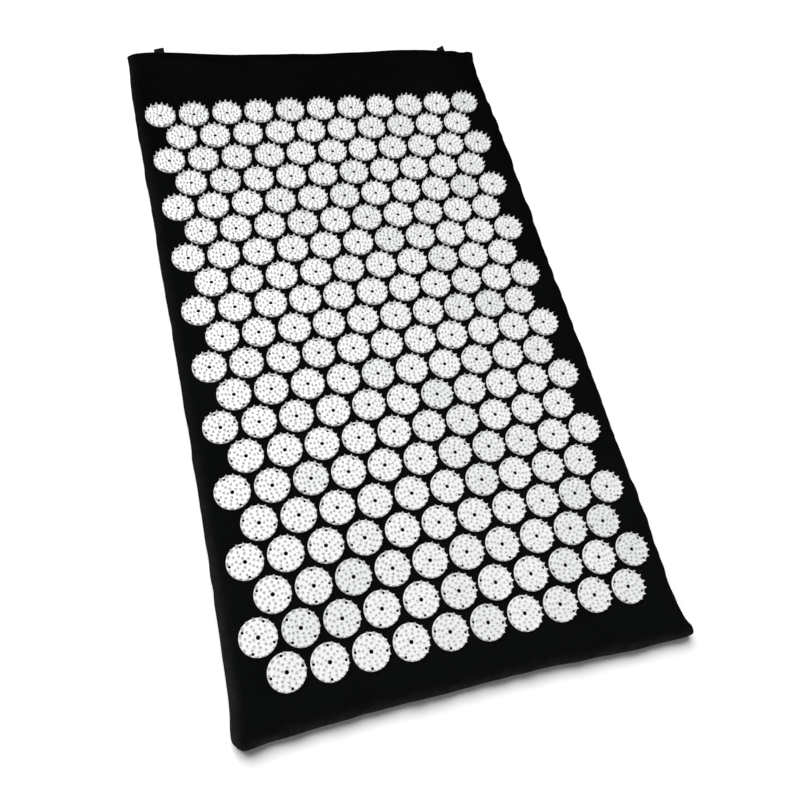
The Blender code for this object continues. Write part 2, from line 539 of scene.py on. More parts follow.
cover = {
    "thickness": 0.001,
    "rollWidth": 0.012,          # plan width of the rounded edge
    "rollLength": 0.0183,        # and its length along the cloth
    "slopeExtra": 0.0056,        # how much longer the slope at the flap is than its plan
    "leftCorner": 1.1,           # how strongly each corner is rounded in plan
    "rightCorner": 0.45,
    "cornerCut": 0.29,
    "seamHeightShare": 0.45,
    "seamGap": 0.0003,
    "sideDrawIn": 0.0015,
    "nearDrawIn": 0.0045,
    "hemDepth": 0.018,
    "foldReach": 0.006,          # how far the flap's fold spreads to each side of its line
    "cell": 0.0056,
    "rollSteps": 5,
    "slopeSteps": 4,
    "hemSteps": 4,
    "puckerDepth": 0.00055,
    "puckerWave": 0.009,
    "puckerSwells": ((1.0, 21, 0.7), (2.7, 22, 0.6)),      # times the wave, seed, size
    "puckerLifts": ((1.4, 23, 0.8),),
    "puckerNearShift": 0.7,      # so that the near edge's puckers differ from the sides'
    "calmSide": 0.168,           # out to here the outline's wandering doesn't reach
    "calmNear": 0.345,
    "sideWave": 0.045,
    "sideWander": 0.0004,
    "nearSeed": 9,
    "hemWave": 0.03,
    "hemWander": 0.0005,
    "hemSeed": 5,
    "rightSheen": 0.45,           # painted sheen of the right edge and of the sides' far part, against 1 at the left
    "farSheen": 0.35,
    "sheenFrom": 0.05,            # the painted sheen grows towards the near end from here, over the next length
    "sheenOver": 0.3,
    "nearSheen": 1.25,
}
hinge = Vector(next(joint["pos_m"] for joint in frame["joints"] if joint["name"] == "mouth_open"))
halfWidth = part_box("cover_base")[1].x
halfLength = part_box("cover_base")[1].y
flatHalfWidth = halfWidth - cover["rollWidth"]
flatNearY = cover["rollWidth"] - halfLength
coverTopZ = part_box("cover_top")[1].z
seamZ = cover["seamHeightShare"] * coverTopZ
hemY = halfLength - cover["hemDepth"]
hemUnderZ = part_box("loop_tape")[1].z + cover["seamGap"]
hemTopZ = hemUnderZ + cover["thickness"]
hemSeamZ = hemTopZ / 2

# How the soft mat lies: its ends spread wider than its waist, and its far end swings to the right
lie = {
    "spanX": 0.2,
    "spanY": 0.36,
    "pinch": 0.0009,
    "flare": 0.0044,
    "slew": 0.0020,
    "bow": 0.0019,
    "swing": 0.0013,
    "slip": 0.0008,
    "close": 0.0020,
    "stretch": 0.0038,
    "arch": 0.0006,
}

# How the sewn hem departs from a straight line: middle, reach, outwards, upwards
farHemBumps = [(-0.176, 0.100, 0.0042, 0.0012), (-0.180, 0.034, 0.0010, 0.0004), (-0.022, 0.030, 0.0009, 0.0),
               (0.050, 0.035, 0.0012, 0.0), (0.120, 0.090, 0.0036, 0.0010), (0.188, 0.016, 0.0007, 0.0),
               (0.1955, 0.007, -0.0030, -0.0008), (-0.214, 0.012, -0.0018, -0.0004)]

# How far each sewn edge bulges past the mat's general lie: middle, reach, outwards
leftBulges = [(-0.365, 0.03, 0.0014), (-0.320, 0.06, -0.0008), (-0.060, 0.22, 0.0013), (0.080, 0.07, 0.0007),
              (0.190, 0.30, 0.0017), (0.310, 0.06, 0.0006), (0.372, 0.045, -0.0022)]
rightBulges = [(-0.330, 0.07, -0.0029), (-0.210, 0.05, 0.0006), (-0.060, 0.20, 0.0036), (0.125, 0.15, 0.0034),
               (0.150, 0.04, -0.0009), (0.335, 0.115, -0.0042)]
nearBulges = [(-0.200, 0.02, 0.0014), (-0.120, 0.035, 0.0007), (-0.130, 0.17, -0.0024), (0.030, 0.07, -0.0010),
              (0.170, 0.12, 0.0026), (0.175, 0.025, -0.0010)]

# The right edge also stands out at the near corner, as an ear, and flares towards the hem
cornerEar = {"start": 0.3662, "length": 0.0060, "out": 0.0033}
hemFlare = {"start": 0.34, "length": 0.04, "out": 0.0048}


def slopeShare(y):
    return 0.5 - 0.5 * math.cos(math.pi * min(max((y - hinge.y) / (hemY - hinge.y), 0.0), 1.0))


def overPad(atPad, atHem, y):
    return atPad + (atHem - atPad) * slopeShare(y)


def edgeShares(x, y):
    side = max((abs(x) - flatHalfWidth) / cover["rollWidth"], 0.0)
    near = max((flatNearY - y) / cover["rollWidth"], 0.0)
    return side, near


def lain(x, y):
    # Plan shift of any point of the mat as it lies
    across, along = x / lie["spanX"], y / lie["spanY"]
    dx = across * (lie["flare"] * along * along - lie["pinch"]) + lie["slew"] * across * along
    dx += lie["bow"] * along * along + lie["swing"] * along ** 3
    dy = along * (lie["stretch"] * along * along - lie["close"]) - lie["slip"]
    dy += lie["arch"] * across * across * (1 - along)
    return Vector((dx, dy, 0))


def bulged(bulges, place):
    # How far a sewn edge bulges out at a place along it
    return sum(outward * bump(place, middle, reach) for middle, reach, outward in bulges)


def strayed(x, y):
    # How the mat lies, and the sewn outline's own small wanderings, strongest at the edge
    toSide = smoothed((abs(x) - cover["calmSide"]) / (halfWidth - cover["calmSide"]))
    toNear = smoothed((-y - cover["calmNear"]) / (halfLength - cover["calmNear"]))
    side = math.copysign(1.0, x)
    out = ripple(y, cover["sideWave"], 2 + side) * cover["sideWander"]
    out += bulged(rightBulges if x > 0 else leftBulges, y)
    if x > 0:
        out += cornerEar["out"] * smoothed((-y - cornerEar["start"]) / cornerEar["length"])
        out += hemFlare["out"] * smoothed((y - hemFlare["start"]) / hemFlare["length"])
    nearOut = ripple(x, cover["sideWave"], cover["nearSeed"]) * cover["sideWander"]
    nearOut += bulged(nearBulges, x)
    shift = lain(x, y)
    dx = shift.x + side * out * toSide
    dy, dz = shift.y - nearOut * toNear, 0.0
    hem = slopeShare(y)
    if hem > 0:
        for middle, reach, outward, upward in farHemBumps:
            share = bump(x, middle, reach) * hem
            dy += outward * share
            dz += upward * share
        dy += ripple(x, cover["hemWave"], cover["hemSeed"]) * cover["hemWander"] * hem
    return Vector((dx, dy, dz))


def planPlace(x, y):
    # Where a station lies in plan, with the corners rounded and the edges drawn in between them
    side, near = edgeShares(x, y)
    rounding = cover["rightCorner"] if x > 0 else cover["leftCorner"]
    if side > 0:
        kept = 1 - rounding * near * near * cover["cornerCut"]
        x = math.copysign(flatHalfWidth + cover["rollWidth"] * side * kept, x)
    if near > 0:
        kept = 1 - rounding * side * side * cover["cornerCut"]
        y = flatNearY - cover["rollWidth"] * near * kept
    sideDraw = cover["sideDrawIn"] * (1 - (y / halfLength) ** 2)
    nearDraw = cover["nearDrawIn"] * (1 - (x / halfWidth) ** 2) * max(-y / halfLength, 0.0)
    return x * (1 - sideDraw / halfWidth), y * (1 - nearDraw / halfLength)


def rollDrop(x, y):
    # How far the rounded edge has dropped towards the seam, from 0 to 1
    through = min(max(edgeShares(x, y)), 1.0)
    return 1 - math.sqrt(1 - through * through)


def swelling(along, waves):
    # Ripples of several lengths along a seam, added up
    return sum(ripple(along, cover["puckerWave"] * times, seed) * size for times, seed, size in waves)


def puckered(x, y):
    # Small folds that run in from the seam, the same on both cloths
    side, near = edgeShares(x, y)
    strength = max(side, near) ** 2 * cover["puckerDepth"]
    if strength == 0:
        return Vector()
    along = y if side >= near else x + cover["puckerNearShift"]
    out = Vector((math.copysign(side, x), -near, 0)).normalized()
    lift = Vector((0, 0, swelling(along, cover["puckerLifts"])))
    return (out * swelling(along, cover["puckerSwells"]) + lift) * strength


def upperPlace(x, y):
    # A point of the top cloth: over the pad, down the slope to the hem, and round to the seam
    crown = overPad(coverTopZ, hemTopZ, y)
    seam = overPad(seamZ, hemSeamZ, y) + cover["seamGap"] / 2
    planX, planY = planPlace(x, y)
    place = Vector((planX, planY, crown - (crown - seam) * rollDrop(x, y)))
    return place + strayed(x, y) + puckered(x, y)


def lowerPlace(x, y):
    # A point of the bottom cloth, which lies flat on the floor
    seam = overPad(seamZ, hemSeamZ, y) - cover["seamGap"] / 2
    planX, planY = planPlace(x, y)
    place = Vector((planX, planY, seam * rollDrop(x, y))) + strayed(x, y) + puckered(x, y)
    place.z = max(place.z, 0.0)
    return place


def clothStations():
    roll = [math.sin(math.pi / 2 * step / cover["rollSteps"]) for step in range(1, cover["rollSteps"] + 1)]
    rolled = [flatHalfWidth + cover["rollWidth"] * share for share in roll]
    middle = spaced(-flatHalfWidth, flatHalfWidth, round(2 * flatHalfWidth / cover["cell"]))
    columns = [-x for x in reversed(rolled)] + middle + rolled
    nearRoll = [flatNearY - cover["rollWidth"] * share for share in reversed(roll)]
    length = hinge.y - flatNearY
    body = spaced(flatNearY, hinge.y, round(length / cover["cell"]))
    slope = spaced(hinge.y, hemY, cover["slopeSteps"])[1:]
    hem = spaced(hemY, halfLength, cover["hemSteps"])[1:]
    return columns, nearRoll + body + slope + hem


def cutPlace(x, y):
    # Where a station lies on the flat cut cloth, with the rounded edge and the slope laid out
    side, near = edgeShares(x, y)
    if side > 0:
        x = math.copysign(flatHalfWidth + cover["rollLength"] * math.asin(min(side, 1.0)) / (math.pi / 2), x)
    if near > 0:
        y = flatNearY - cover["rollLength"] * math.asin(min(near, 1.0)) / (math.pi / 2)
    return x, y + cover["slopeExtra"] * slopeShare(y)


def cutSize():
    # Width and length of the flat cut cloth
    return cutPlace(halfWidth, 0)[0] * 2, cutPlace(0, halfLength)[1] - cutPlace(0, -halfLength)[1]


def clothGrid(place):
    # One layer of cloth as a grid, with its cut laid out as UVs and the painted sheen of its rolled edges as an
    # attribute
    columns, rows = clothStations()
    shape = bmesh.new()
    cutLayer = shape.loops.layers.uv.new("cut")
    rollSheenLayer = shape.verts.layers.float.new("rollSheen")
    stations = {}
    bmesh.ops.create_grid(shape, x_segments=len(columns) - 1, y_segments=len(rows) - 1, size=1)
    shape.verts.ensure_lookup_table()
    for vertex in shape.verts:
        column = round((vertex.co.x + 1) / 2 * (len(columns) - 1))
        row = round((vertex.co.y + 1) / 2 * (len(rows) - 1))
        stations[vertex.index] = (columns[column], rows[row])
    for face in shape.faces:
        for loop in face.loops:
            loop[cutLayer].uv = cutPlace(*stations[loop.vert.index])
    for vertex in shape.verts:
        x, y = stations[vertex.index]
        # Painted sheen: strongest where the rolled edges turn down, more at the left and at the near end
        side, near = edgeShares(x, y)
        onLeft = 1.0 if x < 0 else cover["rightSheen"]
        toFar = smoothed((-y - cover["sheenFrom"]) / cover["sheenOver"])
        low = cover["farSheen"] + (1 - cover["farSheen"]) * toFar
        vertex[rollSheenLayer] = max(side * side * onLeft * low, near ** 3 * cover["nearSheen"])
        vertex.co = place(x, y)
    return shape, stations


# Discs: their settings and where they lie

disc = {
    "radius": 0.0161,
    "thickness": 0.0012,
    "underlay": 0.0002,          # glue line that the plate sinks into
    "rimRound": 0.0004,
    "rimSteps": 2,
    "sides": 48,
    "centreHole": 0.0019,
    "smallHole": 0.00128,
    "smallHoleReach": 0.0137,
    "smallHoleTurns": (0.8, 90.8, 180.8, 270.8),
    "holeSides": 12,
    # Each ring of spikes: reach, count, turn, how far its tips stand outwards of their feet, and its
    # spikes' own width along the rim, width across it and height, as shares of the plain spike's
    "rings": ((0.0043, 5, 0, 0.0, 1.05, 1.0, 0.8), (0.0076, 9, 20, 0.0001, 1.05, 1.0, 0.8),
              (0.0109, 12, 21, 0.0002, 1.05, 1.0, 0.8), (0.0144, 16, 12, 0.0017, 1.7, 0.8, 1.0)),
    "spikeHeight": 0.0039,
    "spikeSides": 8,
    "spikeRadii": (0.00142, 0.00126, 0.00102, 0.00072, 0.00038, 0.00012),
    "spikeHeightShares": (0.0, 0.08, 0.26, 0.50, 0.78, 1.0),
    "spikeTipShare": 1.01,
    "pitch": 0.0356,
    "fieldTurn": 0.6,            # degrees
    "tilt": 0.9,                 # degrees, at most
    "drift": 0.0002,
    "seed": 47,
    "flatFrom": 0.999,           # faces that look this straight up or down keep sharp edges
}


def discRows():
    # Each row's node with its discs' centres on the cloth
    turn = math.radians(disc["fieldTurn"])
    direction = Vector((math.cos(turn), math.sin(turn), 0))
    rows = []
    for node in sorted(name for name in frame["nodes"] if name.startswith("disc_row_")):
        low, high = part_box(node)
        middle = Vector(((low.x + high.x) / 2, (low.y + high.y) / 2, low.z))
        count = round((high.x - low.x - 2 * disc["radius"]) / disc["pitch"]) + 1
        centres = [middle + direction * disc["pitch"] * (number - (count - 1) / 2) for number in range(count)]
        rows.append((node, [centre + lain(centre.x, centre.y) for centre in centres]))
    return rows


rowsOfDiscs = discRows()
discCentres = [centre for _, centres in rowsOfDiscs for centre in centres]
print("disc places:", len(discCentres))


# Top cloth

settling = {
    "frames": 20,
    "pressure": 4.0,
    "spareCloth": 0.022,         # how much longer the cloth is than its seat
    "edgeCap": 0.0016,
    "fieldCap": 0.00025,
    "deepest": 0.00015,
    "gluedReach": 0.0142,
    "looseOver": 0.012,          # past the glue the cap grows to its full size over this length
    "sewnFrom": 0.97,
    "hemMargin": 0.001,
    "fabric": {"quality": 6, "mass": 0.15, "vertex_group_mass": "held", "tension_stiffness": 12,
               "compression_stiffness": 12, "shear_stiffness": 4, "bending_stiffness": 0.35},
}


def nearestDisc(x, y):
    return min(math.hypot(x - centre.x, y - centre.y) for centre in discCentres)


def settleCloth(piece, stations):
    # Let the loose cloth round the glued discs settle under pressure, then cap how far it strays
    rest = [vertex.co.copy() for vertex in piece.data.vertices]
    reach = {index: nearestDisc(point.x, point.y) for index, point in enumerate(rest)}
    held = []
    for index, (x, y) in stations.items():
        sewn = max(edgeShares(x, y)) > settling["sewnFrom"] or y > hemY - settling["hemMargin"]
        if sewn or reach[index] < settling["gluedReach"]:
            held.append(index)
    group = piece.vertex_groups.new(name="held")
    group.add(held, 1.0, "REPLACE")
    modifier = piece.modifiers.new("settle", "CLOTH")
    for name, value in settling["fabric"].items():
        setattr(modifier.settings, name, value)
    modifier.settings.shrink_min = -settling["spareCloth"]
    modifier.settings.use_pressure = True
    modifier.settings.uniform_pressure_force = settling["pressure"]
    modifier.settings.effector_weights.gravity = 0
    modifier.collision_settings.use_collision = False
    for step in range(1, settling["frames"] + 1):
        scene.frame_set(step)
    evaluated = piece.evaluated_get(bpy.context.evaluated_depsgraph_get())
    moved = [vertex.co.copy() for vertex in evaluated.data.vertices]
    piece.modifiers.remove(modifier)
    piece.vertex_groups.remove(group)
    scene.frame_set(1)
    furthest = 0.0
    for index, vertex in enumerate(piece.data.vertices):
        loose = smoothed((reach[index] - settling["gluedReach"]) / settling["looseOver"])
        cap = settling["fieldCap"] + (settling["edgeCap"] - settling["fieldCap"]) * loose
        shift = moved[index] - rest[index]
        shift.z = max(shift.z, -settling["deepest"])
        if shift.length > cap:
            shift = shift.normalized() * cap
        furthest = max(furthest, shift.length)
        vertex.co = rest[index] + shift
    piece.data.update()
    print("top cloth settled, furthest %.2f mm" % (furthest * 1000))


def addTopCloth():
    shape, stations = clothGrid(upperPlace)
    piece = addPiece("coverTopCloth", shape, cotton)
    settleCloth(piece, stations)
    thicken(piece, cover["thickness"], -1)
    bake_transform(piece)
    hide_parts("cover_top", "mouth_flap")
    width, length = cutSize()
    return piece


# Bottom cloth

def addBaseCloth():
    shape, _ = clothGrid(lowerPlace)
    bmesh.ops.reverse_faces(shape, faces=shape.faces)
    piece = addPiece("coverBaseCloth", shape, cotton, "mat")
    thicken(piece, cover["thickness"], -1)
    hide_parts("cover_base")
    width, length = cutSize()


# Foam pad

pad = {
    "edgeRound": 0.0025,
    "edgeSteps": 3,
    "cell": 0.012,
    "uneven": 0.00022,
    "unevenScale": 28,
    "seed": 1795890812,          # without a seed, noise_vector starts from the clock and every run differs
}


def addPad():
    low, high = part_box("foam_pad")
    shape = boxShape(low, high, pad["edgeRound"], pad["edgeSteps"])
    inset = pad["edgeRound"] * 2
    for normal, start, end in ((Vector((1, 0, 0)), low.x, high.x), (Vector((0, 1, 0)), low.y, high.y)):
        cutAcross(shape, normal, spaced(start + inset, end - inset, round((end - start) / pad["cell"])))
    noise.seed_set(pad["seed"])
    for vertex in shape.verts:
        shift = noise.noise_vector(vertex.co * pad["unevenScale"]) * pad["uneven"]
        shift.z = -abs(shift.z) if vertex.co.z > (low.z + high.z) / 2 else abs(shift.z)
        vertex.co += shift
    piece = addPiece("foamPad", shape, foam, "mat")
    piece.data.shade_smooth()
    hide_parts("foam_pad")


# Hook and loop tapes

tape = {
    "backing": 0.0005,
    "selvedge": 0.0016,          # bare edge that the stitches run in
    "hookPitch": 0.0022,
    "hookRadius": 0.00011,
    "hookReach": 0.00045,
    "loopPitch": 0.0017,
    "loopRadius": 0.00006,
    "scatter": 0.15,             # how far hooks and loops stray, as a share of their pitch
    "hookTurns": (0.5, 1.5),     # hooks lean one way or the other, in half turns
    "hookStray": 0.5,
    "hookOutline": ((0, 0), (0, 0.4), (0.25, 0.9), (0.75, 1.0), (1.05, 0.6)),
    "loopOutline": ((-0.5, 0, 0.0), (-0.8, 0.5, 0.55), (0, 1, 1.0), (0.8, 0.5, 0.55), (0.5, 0, 0.0)),
    "loopLean": 0.5,
    "loopWidths": (0.5, 0.9),
    "loopDepths": (0.7, 1.0),
    "bendStep": 0.004,
    "edgeRound": 0.00015,
    "edgeSteps": 2,
    "seed": 12,
}


def bentBand(low, high):
    # A flat band between two corners that follows the wavy hem
    shape = boxShape(low, high, tape["edgeRound"], tape["edgeSteps"])
    cutAcross(shape, Vector((1, 0, 0)), spaced(low.x, high.x, round((high.x - low.x) / tape["bendStep"]))[1:-1])
    for vertex in shape.verts:
        vertex.co += strayed(vertex.co.x, vertex.co.y)
    return shape


def addRods(name, runs, radius, material, body, resolution=0):
    # One piece of many thin round rods, each along a run of points
    curve = bpy.data.curves.new(name, "CURVE")
    curve.dimensions = "3D"
    curve.bevel_depth = radius
    curve.bevel_resolution = resolution
    curve.use_fill_caps = True
    for run in runs:
        spline = curve.splines.new("POLY")
        spline.points.add(len(run) - 1)
        for point, place in zip(spline.points, run):
            point.co = (*place, 1)
    drawn = linked(name + "Lines", curve)
    mesh = evaluatedMesh(drawn)
    bpy.data.objects.remove(drawn)
    shape = shapeOf(mesh)
    bpy.data.meshes.remove(mesh)
    bmesh.ops.remove_doubles(shape, verts=shape.verts, dist=weld["rods"])
    bmesh.ops.recalc_face_normals(shape, faces=shape.faces)
    addPiece(name, shape, material, body).data.shade_smooth()


def scattered(low, high, pitch, chance):
    # Staggered places on a band, each a little off its row
    places = []
    edge = tape["selvedge"] + pitch / 2
    rows = spaced(low.y + edge, high.y - edge, round((high.y - low.y - 2 * edge) / pitch))
    for number, y in enumerate(rows):
        for x in spaced(low.x + edge, high.x - edge, round((high.x - low.x - 2 * edge) / pitch)):
            place = Vector((x + number % 2 * pitch / 2, y, 0))
            stray = Vector((chance.uniform(-1, 1), chance.uniform(-1, 1), 0))
            places.append(place + stray * pitch * tape["scatter"])
    return places


def hookRun(place, chance):
    # A hook: straight up from the backing, then over and part of the way back down
    stray = tape["hookStray"]
    turn = Matrix.Rotation(chance.choice(tape["hookTurns"]) * math.pi + chance.uniform(-stray, stray), 3, "Z")
    reach = tape["hookReach"]
    height = reach + tape["hookRadius"]
    return [place + turn @ Vector((out * reach, 0, up * height)) for out, up in tape["hookOutline"]]


def loopRun(place, depth, chance):
    # A loop that hangs from the backing, leaning its own way
    turn = Matrix.Rotation(chance.uniform(0, math.pi), 3, "Z")
    lean = chance.uniform(-tape["loopLean"], tape["loopLean"]) * depth
    wide = chance.uniform(*tape["loopWidths"]) * depth
    return [place + turn @ Vector((side * wide, share * lean, -down * depth))
            for side, share, down in tape["loopOutline"]]


def addTapes():
    chance = random.Random(tape["seed"])
    low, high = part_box("hook_tape")
    top = low.z + tape["backing"]
    band = addPiece("hookTape", bentBand(low, Vector((high.x, high.y, top))), hookNylon, "mat")
    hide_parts("hook_tape")
    runs = []
    for place in scattered(low, high, tape["hookPitch"], chance):
        base = place + Vector((0, 0, top - tape["hookRadius"])) + strayed(place.x, place.y)
        runs.append(hookRun(base, chance))
    addRods("tapeHooks", runs, tape["hookRadius"], hookNylon, "mat")

    low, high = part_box("loop_tape")
    under = high.z - tape["backing"]
    band = addPiece("loopTape", bentBand(Vector((low.x, low.y, under)), high), loopNylon, "mouth")
    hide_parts("loop_tape")
    depth = under - low.z - tape["loopRadius"]
    runs = []
    for place in scattered(low, high, tape["loopPitch"], chance):
        base = place + Vector((0, 0, under)) + strayed(place.x, place.y)
        runs.append(loopRun(base, depth * chance.uniform(*tape["loopDepths"]), chance))
    addRods("tapeLoops", runs, tape["loopRadius"], loopNylon, "mouth")


# Stitching

stitch = {
    "pitch": 0.0032,
    "length": 0.0025,
    "radius": 0.00019,
    "rise": 0.00014,
    "sink": 0.00022,
    "steps": 4,
    "tackInsets": (0.0016, 0.0028),    # the tabs' tacks, in from the far hem
}


def surfaceOf(piece):
    # A piece's upper face as a search tree, for setting things down on it
    shape = shapeOf(piece.data)
    tree = BVHTree.FromBMesh(shape)
    shape.free()
    return tree


def setDown(tree, point):
    # The point of a surface that lies straight below
    hit = tree.ray_cast(Vector((point.x, point.y, 1.0)), Vector((0, 0, -1)))[0]
    return hit or point


def seamRuns(start, end, height, up):
    # A line of stitches, each one bowed up out of the cloth that it is pulled into
    line = end - start
    count = round(line.length / stitch["pitch"])
    runs = []
    for number in range(count):
        run = []
        for share in spaced(0.0, 1.0, stitch["steps"]):
            point = start + line * ((number + share * stitch["length"] / stitch["pitch"]) / count)
            lift = stitch["rise"] * math.sin(math.pi * share) - stitch["sink"] * (share in (0.0, 1.0))
            run.append(height(point + strayed(point.x, point.y)) + Vector((0, 0, up * lift)))
        runs.append(run)
    return runs


def addStitching(topCloth):
    surface = surfaceOf(topCloth)
    low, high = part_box("loop_tape")
    lines = []
    for y in (low.y + tape["selvedge"] / 2, high.y - tape["selvedge"] / 2):
        lines.append((Vector((low.x, y, 0)), Vector((high.x, y, 0))))

    def onFlap(point):
        return setDown(surface, point)

    def underLoops(point):
        return point + Vector((0, 0, high.z - tape["backing"]))

    def onHooks(point):
        return point + Vector((0, 0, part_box("hook_tape")[0].z + tape["backing"]))

    tacks = []
    for node in ("pull_tab_left", "pull_tab_right"):
        left, right = (corner.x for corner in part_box(node))
        for inset in stitch["tackInsets"]:
            y = halfLength - inset
            tacks.append((Vector((left, y, 0)), Vector((right, y, 0))))

    for name, body, height, up, seams in (("flapStitches", "mouth", onFlap, 1, lines + tacks),
                                          ("loopTapeStitches", "mouth", underLoops, -1, lines),
                                          ("hookTapeStitches", "mat", onHooks, 1, lines)):
        runs = [run for start, end in seams for run in seamRuns(start, end, height, up)]
        addRods(name, runs, stitch["radius"], thread, body, 1)


# Pull tabs

tab = {
    "webbing": 0.0008,
    "between": 0.0002,
    "rootDepth": 0.0012,         # how far its ends run in under the hem
    "steps": 7,
    "noseSteps": 5,
    "columns": 8,
    "bendLength": 0.0026,
    "rootTries": 4,
    "sagPower": 1.6,
    "sagShortens": 0.1,
    "left": {"wider": 1.16, "aside": 0.0008, "droop": 0.0020, "drawIn": 0.0008, "tuck": 0.0019},
    "right": {"wider": 1.04, "aside": 0.0020, "droop": 0.0046, "drawIn": 0.0034, "tuck": 0.0},
}


def hemPlace(x):
    # The middle of the flap's far edge at a place across the mat
    near = x
    for _ in range(tab["rootTries"]):
        near += x - (near + strayed(near, halfLength).x)
    return Vector((near, halfLength, hemTopZ - cover["thickness"])) + strayed(near, halfLength)


def addTab(side):
    node = "pull_tab_" + side
    low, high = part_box(node)
    middle = (low.x + high.x) / 2 + tab[side]["aside"]
    root = hemPlace(middle) - Vector((0, tab[side]["tuck"], 0))
    length = high.y - low.y
    apart = (tab["webbing"] + tab["between"]) / 2
    steps = spaced(-tab["rootDepth"], length - apart - tab["webbing"] / 2, tab["steps"])
    turns = spaced(0, math.pi, tab["noseSteps"])[1:-1]
    path = [(y, apart) for y in steps]
    path += [(steps[-1] + apart * math.sin(turn), apart * math.cos(turn)) for turn in turns]
    path += [(y, -apart) for y in reversed(steps)]
    travel = [0.0]
    for before, after in zip(path, path[1:]):
        travel.append(travel[-1] + math.dist(before, after))
    shape = bmesh.new()
    bmesh.ops.create_grid(shape, x_segments=tab["columns"], y_segments=len(path) - 1, size=1)
    cutLayer = shape.loops.layers.uv.new("cut")
    width = (high.x - low.x) * tab[side]["wider"]
    seats = {}
    for vertex in shape.verts:
        across = vertex.co.x / 2
        number = round((vertex.co.y + 1) / 2 * (len(path) - 1))
        y, z = path[number]
        seats[vertex] = (across * width, travel[number])
        share = max(y / length, 0.0)
        sagging = (0.5 - across) * share ** tab["sagPower"]
        x = across * width + tab[side]["drawIn"] * (0.5 - across) * share
        y *= 1 - tab["sagShortens"] * sagging
        place = root + Vector((x, y, z - tab[side]["droop"] * sagging))
        place.z = max(place.z, tab["webbing"] / 2)
        vertex.co = place
    for face in shape.faces:
        for loop in face.loops:
            loop[cutLayer].uv = seats[loop.vert]
    piece = addPiece("pullTab" + side.capitalize(), shape, webbing)
    thicken(piece, tab["webbing"], 0)
    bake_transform(piece)
    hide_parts(node)


# Discs: their shape

def spikeMesh():
    # One slender spike, turned from its outline, with its foot a little below the plate's face
    shape = bmesh.new()
    height = disc["spikeHeight"]
    foot = Vector((disc["spikeRadii"][0], 0, -disc["thickness"] / 2))
    outline = [Vector((0, 0, foot.z)), foot]
    outline += [Vector((radius, 0, height * share))
                for radius, share in zip(disc["spikeRadii"], disc["spikeHeightShares"])]
    outline.append(Vector((0, 0, height * disc["spikeTipShare"])))
    verts = [shape.verts.new(point) for point in outline]
    edges = [shape.edges.new(pair) for pair in zip(verts, verts[1:])]
    bmesh.ops.spin(shape, geom=verts + edges, axis=(0, 0, 1), cent=(0, 0, 0), angle=2 * math.pi,
                   steps=disc["spikeSides"], use_merge=True)
    bmesh.ops.remove_doubles(shape, verts=shape.verts, dist=weld["spike"])
    bmesh.ops.recalc_face_normals(shape, faces=shape.faces)
    return meshOf("spike", shape)


def addCylinder(shape, radius, depth, sides, place):
    bmesh.ops.create_cone(shape, cap_ends=True, segments=sides, radius1=radius, radius2=radius, depth=depth,
                          matrix=Matrix.Translation(place))


def discMesh():
    # One disc with its middle at the origin and the plate's upper face at zero
    depth = disc["thickness"] + disc["underlay"]
    shape = bmesh.new()
    addCylinder(shape, disc["radius"], depth, disc["sides"], (0, 0, -depth / 2))
    rim = [edge for edge in shape.edges if all(vertex.co.z > -depth / 2 for vertex in edge.verts)]
    roundEdges(shape, rim, disc["rimRound"], disc["rimSteps"])
    plate = linked("plate", meshOf("plate", shape))

    shape = bmesh.new()
    drillDepth = disc["thickness"] * 4
    addCylinder(shape, disc["centreHole"], drillDepth, 2 * disc["holeSides"], (0, 0, 0))
    for turn in disc["smallHoleTurns"]:
        reach, angle = disc["smallHoleReach"], math.radians(turn)
        place = (reach * math.cos(angle), reach * math.sin(angle), 0)
        addCylinder(shape, disc["smallHole"], drillDepth, disc["holeSides"], place)
    drills = linked("drills", meshOf("drills", shape))

    spike = spikeMesh()
    shape = bmesh.new()
    for reach, count, turn, outward, wide, deep, tall in disc["rings"]:
        for number in range(count):
            angle = math.radians(turn + 360 * number / count)
            away = Vector((math.cos(angle), math.sin(angle), 0))
            along = Vector((-away.y, away.x, 0))
            start = len(shape.verts)
            shape.from_mesh(spike)
            shape.verts.ensure_lookup_table()
            for vertex in shape.verts[start:]:
                x, y, z = vertex.co
                out = reach + x * deep + outward * max(z, 0.0) / disc["spikeHeight"]
                vertex.co = away * out + along * y * wide + Vector((0, 0, z * tall))
    spikes = linked("spikes", meshOf("spikes", shape))
    for tool, operation in ((spikes, "UNION"), (drills, "DIFFERENCE")):
        cut = plate.modifiers.new(operation.lower(), "BOOLEAN")
        cut.operation = operation
        cut.object = tool
        cut.use_self = tool is spikes
    applyModifiers(plate)
    shape = shapeOf(plate.data)
    bmesh.ops.remove_doubles(shape, verts=shape.verts, dist=weld["disc"])
    bmesh.ops.triangulate(shape, faces=[face for face in shape.faces if len(face.verts) > 4])
    for face in shape.faces:
        face.smooth = True
    for edge in shape.edges:
        edge.smooth = not any(abs(face.normal.z) > disc["flatFrom"] for face in edge.link_faces)
    shape.to_mesh(plate.data)
    shape.free()
    mesh = plate.data
    for item in (plate, drills, spikes):
        bpy.data.objects.remove(item)
    return mesh


